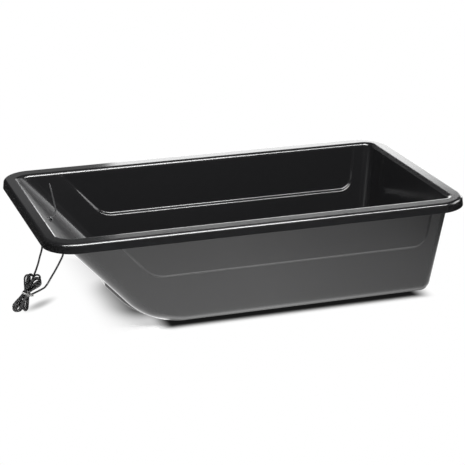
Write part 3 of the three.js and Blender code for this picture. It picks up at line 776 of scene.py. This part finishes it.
tub = {
    "length": 1.0,
    "beam": 0.57,
    "height": 0.25,
    "sheet": 0.003,
    "floorTop": 0.012,
    "sideRim": 0.0456,
    "sideDraft": radians(8.1),
    "floorFillet": 0.013,
    "rimEdge": 0.010,
    "shoulder": 0.009,
    "skirt": 0.0215,
    "flare": 0.0015,
    "panelDepth": 0.007,
    "ledgeRise": 0.0042,
    "ledgeFillet": 0.0045,
    "ledge": 0.1305,
    "runnerDepth": 0.009,
    "runnerHalf": 0.022,
    "runnerFlank": 0.006,
    "runnerBeyond": 0.25,  # share of the flank that lies outside the half width
    "runnerCentre": 0.135,
    "runnerRise": 0.0605,
    "runnerSternGap": 0.011,
    "runnerRamp": 0.0146,
    "tieDrop": 0.049,
    "slotReach": (0.0041, 0.0071),
    "slotHalfWidth": 0.0023,
    "slotSlack": 0.001,  # how near to the slope a face still lies on it
    # the mesh: steps round its curves, then where its rows and columns lie
    "cornerSteps": 16,
    "footSteps": 40,
    "edgeSteps": 10,
    "lipSteps": 12,
    "overFoot": (0.0015, 0.006, 0.012, 0.0187, 0.022),
    "atRunnerTip": [(-0.0146, 0.0012, 14)],  # from, step and count
    "atLedge": [(-0.003, 0.0007, 20), (0.012, 0.0018, 14), (0.042, 0.006, 9)],
    "underRim": (0.012, 0.0105),
    "leastRise": 0.0002,
    "topShares": (0.06, 0.5, 0.94),
    "skirtShares": (0.05, 0.35, 0.7, 0.95, 1),
    "panelOffsets": [  # outward from the panel's outline
        0.006, 0.0035, 0.002, 0.001, 0, -0.001, -0.002, -0.003,
        -0.004, -0.005, -0.006, -0.007, -0.008, -0.0095, -0.013],
    "panelApart": 0.0012,  # the least distance between columns below the panel
    "underLedge": 0.001,
    "foreShares": (0.03, 0.3, 0.6, 0.9),
    "middleShares": (0.2, 0.4, 0.6, 0.8),
    "aftShares": (0.1, 0.2, 0.3, 0.4, 0.5, 0.6, 0.7, 0.8, 0.97),
    "stripInner": (0.008, 0.05, 0.09),
    "flankPlaces": (0.45, 0.18, 9),  # from, step and count, in flanks
    "runnerMiddle": 0.008,
    "stripOuter": 0.1725,
}
bow = {
    "facing": 1,
    "rim": 0.031,
    "rake": radians(48),
    "foot": 0.172,
    "corner": 0.028,
    "lip": 0.072,
    "panelInset": 0.1043,
    "panelCorner": 0.0635,
}
stern = {
    "facing": -1,
    "rim": 0.042,
    "rake": radians(83),
    "foot": 0.020,
    "corner": 0.018,
    "lip": 0.085,
    "panelInset": 0.040,
    "panelCorner": 0.0335,
}
for end in (bow, stern):
    end["topX"] = end["facing"] * (end["rim"] - tub["length"] / 2)
rimTop = tub["height"]


def footRise(angle):
    return tub["floorTop"] + bow["foot"] * (1 - cos(angle))


slopeFoot = footRise(bow["rake"])
runnerTip = slopeFoot + tub["runnerRise"] * sin(bow["rake"])


def sideY(z):
    return tub["beam"] / 2 - tub["sideRim"] - (rimTop - z) * tan(tub["sideDraft"])


def endLine(end, z):
    return (rimTop - z) / tan(end["rake"])


def arcInset(end):
    return endLine(end, tub["floorTop"]) + end["foot"] * tan(end["rake"] / 2)


def edgeRadius(end, angle):
    share = min(1, sin(angle) / sin(end["rake"]))
    return tub["floorFillet"] + (end["corner"] - tub["floorFillet"]) * share


# point of the fillet between end and side at one height
def edgePoint(end, z, angle):
    rise, bend = z - tub["floorTop"], 1 - cos(angle)

    def lift(foot):
        return end["foot"] * (1 - cos(foot)) + edgeRadius(end, foot) * bend * cos(foot)

    radius = edgeRadius(end, end["rake"])
    if lift(end["rake"]) <= rise:
        inset = endLine(end, z) + radius * bend / sin(end["rake"])
    else:
        low, high = 0.0, end["rake"]
        for _ in range(40):  # halvings, down to nothing
            middle = (low + high) / 2
            if lift(middle) < rise:
                low = middle
            else:
                high = middle
        radius = edgeRadius(end, low)
        inset = arcInset(end) - (end["foot"] - radius * bend) * sin(low)
    return end["topX"] + end["facing"] * inset, sideY(z) - radius * (1 - sin(angle))


def panelLine(end, z):
    return end["panelInset"] + endLine(end, z)


def panelCentre(end):
    inset = panelLine(end, tub["ledge"]) + end["panelCorner"] * tan(end["rake"] / 2)
    return end["topX"] + end["facing"] * inset, tub["ledge"] + end["panelCorner"]


# where the panel's outline, moved outward, stands at a height
def panelEdge(end, z, outward, leastReach):
    radius = end["panelCorner"] + outward
    centreX, centreZ = panelCentre(end)
    if z >= centreZ - radius * cos(end["rake"]):
        inset = panelLine(end, z) - outward / sin(end["rake"])
        return end["topX"] + end["facing"] * inset
    below = min(centreZ - z, radius)
    return centreX - end["facing"] * max(leastReach, sqrt(radius * radius - below * below))


# distance in from the panel's outline, negative outside it
def panelInside(x, z):
    reach = z - tub["ledge"]
    for end in (bow, stern):
        centreX, centreZ = panelCentre(end)
        fromX, fromZ = (x - centreX) * end["facing"], z - centreZ
        if fromX < 0 and fromZ * sin(end["rake"]) < fromX * cos(end["rake"]):
            return end["panelCorner"] - hypot(fromX, fromZ)
        inset = (x - end["topX"]) * end["facing"] - panelLine(end, z)
        reach = min(reach, inset * sin(end["rake"]))
    return reach


# the panel's depth as a share, across its ledge: two fillets and a flat between them
def ledgeShare(inside):
    half, depth, fillet = tub["ledgeRise"] / 2, tub["panelDepth"], tub["ledgeFillet"]
    lean = atan2(depth, 2 * half)
    run = fillet * tan(lean / 2)
    reach, place = half + run, abs(inside)
    if place >= reach:
        rest = 0
    elif place >= half - run * cos(lean):
        rest = fillet - sqrt(max(0, fillet ** 2 - (reach - place) ** 2))
    else:
        rest = depth / 2 - place * tan(lean)
    return 1 - rest / depth if inside > 0 else rest / depth


def panelShare(x, z):
    return ledgeShare(panelInside(x, z) - tub["panelDepth"] / 2)


def panelPush(x, z):
    top = tub["ledge"] + tub["panelDepth"]
    fade = min(1, (rimTop - z) / (rimTop - top))
    return tub["panelDepth"] * fade * panelShare(x, z)


# the side wall's columns at a height: round both ends of the panel, and a few between;
# their places, and the same as shares of the way between the corners
def columnPlaces(z):
    def spread(start, end, shares):
        return [start + (end - start) * share for share in shares]

    def panelEnd(end):
        count, apart = len(tub["panelOffsets"]), tub["panelApart"]
        offsets = enumerate(tub["panelOffsets"])
        return [panelEdge(end, at, offset, apart * (count - i)) for i, offset in offsets]

    at = max(z, tub["ledge"] - tub["underLedge"])
    fore, aft = panelEnd(bow), panelEnd(stern)
    foreCorner, aftCorner = [edgePoint(end, at, pi / 2)[0] for end in (bow, stern)]
    places = spread(foreCorner, fore[0], tub["foreShares"]) + fore
    places += spread(fore[-1], aft[-1], tub["middleShares"]) + aft[::-1]
    places += spread(aft[0], aftCorner, tub["aftShares"])
    return places, [(x - foreCorner) / (aftCorner - foreCorner) for x in places]


# heights of the wall's rows above the floor
def wallLevels():
    steps = tub["footSteps"]
    levels = [footRise(bow["rake"] * i / steps) for i in range(1, steps + 1)]
    levels += [slopeFoot + rise for rise in tub["overFoot"]]
    for base, bands in ((runnerTip, tub["atRunnerTip"]), (tub["ledge"], tub["atLedge"])):
        for low, step, count in bands:
            levels += [base + low + step * i for i in range(count)]
    drops = [tub["tieDrop"] + side * edge for side in (-1, 1) for edge in tub["slotReach"]]
    levels += [rimTop - drop * sin(bow["rake"]) for drop in drops]
    levels += [rimTop - drop for drop in tub["underRim"]]
    ordered = []
    for z in sorted(levels):
        if not ordered or z - ordered[-1] > tub["leastRise"]:
            ordered.append(z)
    return ordered


def quarter(steps):
    return [pi / 2 * i / steps for i in range(steps + 1)]


# the wall's line at the rim's top, each point with its way out and the wall's lean
def rimLine():
    def corner(end):
        line = []
        for angle in quarter(tub["cornerSteps"]):
            across = sin(angle) / sin(end["rake"])
            size = hypot(cos(angle), across)
            lean = cos(angle) / tan(end["rake"]) + across * tan(tub["sideDraft"])
            x, y = edgePoint(end, rimTop, angle)
            outX = -end["facing"] * cos(angle) / size
            line.append((x, y, outX, across / size, lean / size))
        return line

    fade = tub["panelDepth"] / (rimTop - tub["ledge"] - tub["panelDepth"])
    columns = []
    for x in columnPlaces(rimTop)[0]:
        lean = tan(tub["sideDraft"]) - fade * panelShare(x, rimTop)
        columns.append((x, sideY(rimTop), 0, 1, lean))
    return corner(bow) + columns + corner(stern)[::-1]


def lipPoints(inset, z):
    def corner(end):
        line, radius = [], end["lip"] - inset
        for angle in quarter(tub["cornerSteps"]):
            x = end["facing"] * (end["lip"] - tub["length"] / 2 - radius * cos(angle))
            line.append((x, tub["beam"] / 2 - end["lip"] + radius * sin(angle), z))
        return line

    shares, y = columnPlaces(rimTop)[1], tub["beam"] / 2 - inset
    start = bow["lip"] - tub["length"] / 2
    span = tub["length"] - bow["lip"] - stern["lip"]
    columns = [(start + share * span, y, z) for share in shares]
    return corner(bow) + columns + corner(stern)[::-1]


# rows of one side from the rounded edge inside to the lip
def rimRows():
    rows, line, steps = [], rimLine(), tub["edgeSteps"]
    for i in range(steps, -1, -1):
        row = []
        for x, y, outX, outY, lean in line:
            turn = pi / 2 - atan(lean)
            out = tub["rimEdge"] * (tan(turn / 2) - sin(turn * i / steps))
            z = rimTop - tub["rimEdge"] * (1 - cos(turn * i / steps))
            row.append((x + outX * out, y + outY * out, z))
        rows.append(row)
    edge, outer = rows[-1], lipPoints(tub["flare"] + tub["shoulder"], rimTop)
    for share in tub["topShares"]:
        rows.append([tuple(a + (b - a) * share for a, b in zip(p, q)) for p, q in zip(edge, outer)])
    for angle in quarter(tub["lipSteps"]):
        inset = tub["flare"] + tub["shoulder"] * (1 - sin(angle))
        rows.append(lipPoints(inset, rimTop - tub["shoulder"] * (1 - cos(angle))))
    for share in tub["skirtShares"]:
        z = rimTop - tub["shoulder"] - (tub["skirt"] - tub["shoulder"]) * share
        rows.append(lipPoints(tub["flare"] * (1 - share), z))
    return rows


# rows of one side from the floor's edge to the lip, each from the bow's middle to the stern's
def sideRows():
    rows, steps = [], tub["cornerSteps"]
    for z in [tub["floorTop"], *wallLevels()]:
        reach = acos(max(0, 1 - (z - tub["floorTop"]) / tub["floorFillet"]))
        angles = [reach * i / steps for i in range(steps + 1)]
        fore, aft = [[(*edgePoint(end, z, angle), z) for angle in angles] for end in (bow, stern)]
        start, y, _ = fore[-1]
        places = [start + share * (aft[-1][0] - start) for share in columnPlaces(z)[1]]
        rows.append(fore + [(x, y + panelPush(x, z), z) for x in places] + aft[::-1])
    return rows + rimRows()


def runnerPush(y, share):
    edge = (tub["runnerHalf"] - abs(abs(y) - tub["runnerCentre"])) / tub["runnerFlank"]
    return tub["runnerDepth"] * smooth(edge + tub["runnerBeyond"]) * smooth(share)


# places across the middle strip: the tie's slots and the runners' flanks
def stripPlaces():
    centre, near = tub["runnerCentre"], tub["runnerMiddle"]
    first, step, count = tub["flankPlaces"]
    start, flank = centre - tub["runnerHalf"], tub["runnerFlank"]
    inner = [start - flank * (first - step * i) for i in range(count)]
    outer = [2 * centre - y for y in inner[::-1]]
    half = [tub["slotHalfWidth"], *tub["stripInner"], *inner, centre - near, centre + near]
    half += [*outer, tub["stripOuter"]]
    return [-y for y in half[::-1]] + half


# the tie's two slots are left open
def inSlot(middle):
    x, below = middle.x - bow["topX"], rimTop - middle.z
    along = x * cos(bow["rake"]) + below * sin(bow["rake"]) - tub["tieDrop"]
    onSlope = abs(x - below / tan(bow["rake"])) < tub["slotSlack"]
    inner, outer = tub["slotReach"]
    return onSlope and abs(middle.y) < tub["slotHalfWidth"] and inner < abs(along) < outer


def makeTub():
    rows, places, steps = sideRows(), stripPlaces(), tub["cornerSteps"]
    count, wallCount = len(rows[0]), len(wallLevels())
    points, strip, faces = [], [], []

    def put(*place):
        points.append(place)
        return len(points) - 1

    def stripRow(x, edge, z, angle, share):
        row = [put(x, -edge, z)]
        for y in places:
            push = runnerPush(y, share)
            row.append(put(x - push * sin(angle), y, z - push * cos(angle)))
        strip.append([*row, put(x, edge, z)])

    # the middle strip, from the bow's lip down, along the floor and up to the stern's lip
    for k in range(len(rows) - 1, 0, -1):
        x, y, z = rows[k][0]
        angle = bow["rake"]
        if z < slopeFoot:
            angle = acos(1 - (z - tub["floorTop"]) / bow["foot"])
        share = (runnerTip - z) / (tub["runnerRamp"] * sin(bow["rake"]))
        stripRow(x, y, z, angle, share if k <= wallCount else 0)
    runnerEnd = stern["topX"] - arcInset(stern) - tub["runnerSternGap"]
    for x, y, z in rows[0][steps:count - steps]:
        stripRow(x, y, z, 0, (runnerEnd - x) / tub["runnerRamp"])
    for row in rows[1:]:
        stripRow(*row[-1], 0, 0)
    for fore, aft in zip(strip, strip[1:]):
        for j in range(len(places) + 1):
            faces.append((fore[j], aft[j], aft[j + 1], fore[j + 1]))

    # both sides hang on the strip's edges
    floorFirst, floorLast = len(rows) - 1, len(rows) - 2 + count - 2 * steps
    for side, edge in ((-1, 0), (1, -1)):
        grid = []
        for k, row in enumerate(rows):
            line = []
            for j, (x, y, z) in enumerate(row):
                if k == 0:
                    place = floorFirst + max(j - steps, 0)
                    line.append(strip[min(place, floorLast)][edge])
                elif j == 0:
                    line.append(strip[floorFirst - k][edge])
                elif j == count - 1:
                    line.append(strip[floorLast + k][edge])
                else:
                    line.append(put(x, side * y, z))
            grid.append(line)
        for low, high in zip(grid, grid[1:]):
            for j in range(count - 1):
                face = [low[j], low[j + 1], high[j + 1], high[j]][::side]
                face = [v for n, v in enumerate(face) if v != face[n - 1]]
                if len(face) > 2:
                    faces.append(tuple(face))

    middles = [sum((Vector(points[v]) for v in face), Vector()) / len(face) for face in faces]
    faces = [face for face, middle in zip(faces, middles) if not inSlot(middle)]
    piece = meshPiece("tubShell", points, faces, tubPlastic)
    shell = piece.modifiers.new("sheet", "SOLIDIFY")
    shell.thickness = tub["sheet"]
    shell.offset = -1
    shell.use_even_offset = True
    shell.use_rim = True
    return piece


tubShell = makeTub()
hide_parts("tub")
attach(tubShell, "root")
print("tub is made", len(tubShell.data.polygons))


# floor, backdrop and light

studio = {
    "floorColour": (0.9, 0.9, 0.9, 1),
    "floorHalf": 30,
    # rectangles: the hull's foot, the lit table that the plastic mirrors, and the core of the
    # painted shade under the bow
    "areas": [
        ((-0.203, -0.195), (0.43, 0.195)),
        ((-0.45, -0.85), (0.45, 0.20)),
        ((-0.249, -0.03), (0.38, 0.03)),
    ],
    # ranges, from two distances to two strengths
    # the first two darken the floor near the hull's foot and under the bow: painted shade
    "paintedContactShade": (0, 0.045, 0.015, 1),
    "bowShade": (0.05, 0.13, 0.05, 1),
    "hankShade": (0.1, 1, 0.5, 1),
    "tableGlow": (0, 0.8, 1.95, 1.3),
    "tableFade": (0, 0.45, 1, 0.03),
    "mirrorFade": (0, 0.02, 0.15, 1),
    "closeGlow": (0, 0.06, 2.2, 1),
    "sternDim": (0.05, 0.6, 1, 0.5),
    # where the floor fades to white, on each side
    "white": {
        "Y": ((-0.2, -0.245), (0.2, 0.35)),
        "X": ((-0.24, -0.37), (0.39, 0.445)),
    },
    "nearGlow": 0.55,
    "hankShadeAt": (-0.462, 0.022, 0),
    "hankShadeTurn": radians(40),
    "hankShadeSize": (0.07, 0.024),
    "worldStrength": 0.03,
}

# rectangular soft lights: place, aim, size, radiance, and whether they light more than reflections
lamps = {
    "keyBox": ((-0.05, -0.75, 1.7), (-0.1, -0.1, 0.2), (1.5, 1.3), 7, True),
    "backPanel": ((1.39, 1.6, 0.42), (1.39, 0, 0.42), (2.56, 0.86), 3.6, True),
    "dimPanel": ((-0.195, 1.6, 0.42), (-0.195, 0, 0.42), (0.61, 0.86), 0.25, True),
    "rightPanel": ((2.4, -0.1, 1.2), (0, 0, 0.2), (1.5, 0.9), 6, False),
    "stripLight": ((0.0, -1.15, 2.3), (0, 0, 0.2), (4.2, 0.36), 38, False),
}


# distance on the floor from a rectangle
def boxDistance(tree, place, low, high):
    middle = [(a + b) / 2 for a, b in zip(low, high)]
    half = [(b - a) / 2 for a, b in zip(low, high)]
    away = vectorNode(tree, "ABSOLUTE", vectorNode(tree, "SUBTRACT", place, (*middle, 0)))
    beyond = vectorNode(tree, "MAXIMUM", vectorNode(tree, "SUBTRACT", away, (*half, 0)))
    return vectorNode(tree, "LENGTH", beyond)


def emission(tree, strength):
    return addNode(tree, "ShaderNodeEmission", {"Strength": strength}).outputs["Emission"]


def mixShader(tree, share, first, second):
    node = addNode(tree, "ShaderNodeMixShader", {"Fac": share, 1: first, 2: second})
    return node.outputs["Shader"]


def makeFloor(setup):
    material = bpy.data.materials.new("paleFloor")
    tree = nodeTree(material)
    ray = addNode(tree, "ShaderNodeLightPath").outputs
    place = addNode(tree, "ShaderNodeTexCoord").outputs["Object"]
    split = addNode(tree, "ShaderNodeSeparateXYZ", {0: place}).outputs
    foot, table, under = [boxDistance(tree, place, *area) for area in setup["areas"]]

    # seen by the camera: real shadows darkened further by painted shade close to the hull, and
    # plain white further off
    fades = []
    for axis, sides in setup["white"].items():
        fades += [ranged(tree, split[axis], *side, 0, 1) for side in sides]
    pale = mathNode(tree, "MAXIMUM", *fades)
    # the floor's colour is darkened towards the hull's foot and under the bow: painted shade, on
    # top of the real shadows
    paintedContactShade = ranged(tree, foot, *setup["paintedContactShade"])
    paintedContactShade = product(tree, paintedContactShade, ranged(tree, under, *setup["bowShade"]))
    colour = mixNode(tree, "RGBA", paintedContactShade, (0, 0, 0, 1), setup["floorColour"])
    diffuse = addNode(tree, "ShaderNodeBsdfDiffuse", {"Color": colour}).outputs["BSDF"]
    lift = product(tree, paintedContactShade, setup["nearGlow"], ray["Is Camera Ray"])
    sockets = {0: diffuse, 1: emission(tree, lift)}
    shaded = addNode(tree, "ShaderNodeAddShader", sockets).outputs["Shader"]

    # a small soft shadow painted on the floor beside the hank, away from the key
    shift = addNode(tree, "ShaderNodeMapping", {
        "Vector": place,
        "Location": setup["hankShadeAt"],
        "Rotation": (0, 0, setup["hankShadeTurn"]),
        "Scale": (*setup["hankShadeSize"], 1),
    }, vector_type="TEXTURE")
    reach = vectorNode(tree, "LENGTH", shift.outputs["Vector"])
    # the white emission dims inside the ellipse: a painted shadow
    white = ranged(tree, reach, *setup["hankShade"])
    share = product(tree, pale, ray["Is Camera Ray"])
    seen = mixShader(tree, share, shaded, emission(tree, white))

    # mirrored in the plastic: a lit table, without the shadow
    strength = product(
        tree,
        ranged(tree, foot, *setup["tableGlow"], "LINEAR"),
        ranged(tree, table, *setup["tableFade"]),
        ranged(tree, foot, *setup["mirrorFade"]),
        ranged(tree, split["X"], *setup["sternDim"], "LINEAR"),
        ranged(tree, foot, *setup["closeGlow"]),
    )
    both = mixShader(tree, ray["Is Glossy Ray"], seen, emission(tree, strength))
    addNode(tree, "ShaderNodeOutputMaterial", {"Surface": both})
    half = setup["floorHalf"]
    corners = [(-half, -half, 0), (half, -half, 0), (half, half, 0), (-half, half, 0)]
    floor = meshPiece("paleFloor", corners, [(0, 1, 2, 3)], material)


def makeLights():
    for name, (place, aim, (width, height), radiance, lightsAll) in lamps.items():
        data = bpy.data.lights.new(name, "AREA")
        data.shape = "RECTANGLE"
        data.size, data.size_y = width, height
        data.energy = radiance * pi * width * height
        light = bpy.data.objects.new(name, data)
        light.location = place
        direction = Vector(aim) - Vector(place)
        light.rotation_euler = direction.to_track_quat("-Z", "Y").to_euler()
        light.visible_camera = False
        light.visible_diffuse = lightsAll
        scene.collection.objects.link(light)
    scene.world = bpy.data.worlds.new("studioWorld")
    tree = nodeTree(scene.world)
    ray = addNode(tree, "ShaderNodeLightPath").outputs
    strength = ranged(tree, ray["Is Camera Ray"], 0, 1, studio["worldStrength"], 1, "LINEAR")
    shade = addNode(tree, "ShaderNodeBackground", {"Color": (1, 1, 1, 1), "Strength": strength})
    addNode(tree, "ShaderNodeOutputWorld", {"Surface": shade.outputs["Background"]})


makeFloor(studio)
makeLights()
print("studio is set")
